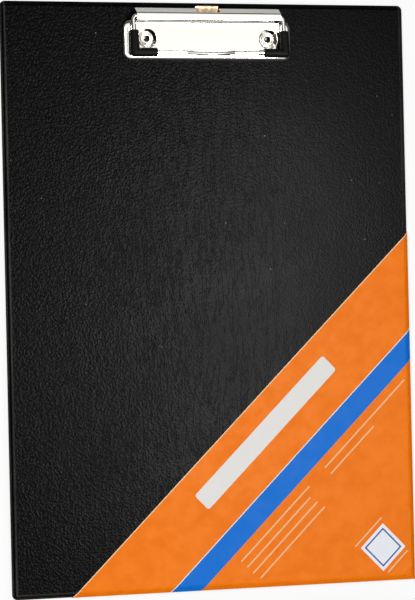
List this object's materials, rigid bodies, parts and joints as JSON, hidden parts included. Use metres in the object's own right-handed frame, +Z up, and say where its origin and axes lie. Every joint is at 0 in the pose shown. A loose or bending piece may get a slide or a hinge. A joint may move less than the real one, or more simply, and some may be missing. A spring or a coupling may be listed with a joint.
{
  "type": "clipboard",
  "caption": "A4 clipboard: vinyl-covered stiff board with a riveted chrome plate, sprung wire bail with rubber corners, slide-out hanger and a paper corner wrap.",
  "frame": {"origin": "middle of the board in plan, on the plane under the rivet heads that the board lies on", "axes": "+Z up out of the writing face, +Y along the board towards the clip, +X to the right seen from the front"},
  "size_m": [0.2302, 0.3202, 0.0155],
  "materials": {
    "greyboard": "raw pressed board",
    "vinyl": "black vinyl with a fine leather grain",
    "vinyl_back": "black vinyl with a fine leather grain",
    "clip_chrome": "bright chrome on stamped steel",
    "wire_chrome": "bright chrome on spring wire",
    "rivet_steel": "bright nickel-plated steel",
    "sleeve_rubber": "matt black rubber",
    "hanger_steel": "bright plated steel strip",
    "printed_paper": "semi-gloss orange print with a blue stripe"
  },
  "bodies": {
    "board": {"core_board": "greyboard", "front_cover": "vinyl", "back_cover": "vinyl_back", "clip_base_plate": "clip_chrome", "rivet_left": "rivet_steel", "rivet_right": "rivet_steel", "corner_label": "printed_paper"},
    "bail": {"wire_bail": "wire_chrome", "rubber_corner_left": "sleeve_rubber", "rubber_corner_right": "sleeve_rubber"},
    "hanger_tab": {"hanger": "hanger_steel"}
  },
  "joints": [
    {"name": "bail_hinge", "type": "hinge", "parent": "board", "child": "bail", "pos_m": [0, 0.15219, 0.00915], "axis": [-1, 0, 0], "range_deg": [0, 90], "stiffness_Nm_per_rad": 0.06, "springref_deg": -68.75},
    {"name": "hanger_slide", "type": "slide", "parent": "board", "child": "hanger_tab", "axis": [0, 1, 0], "range_m": [0, 0.02]}
  ]
}
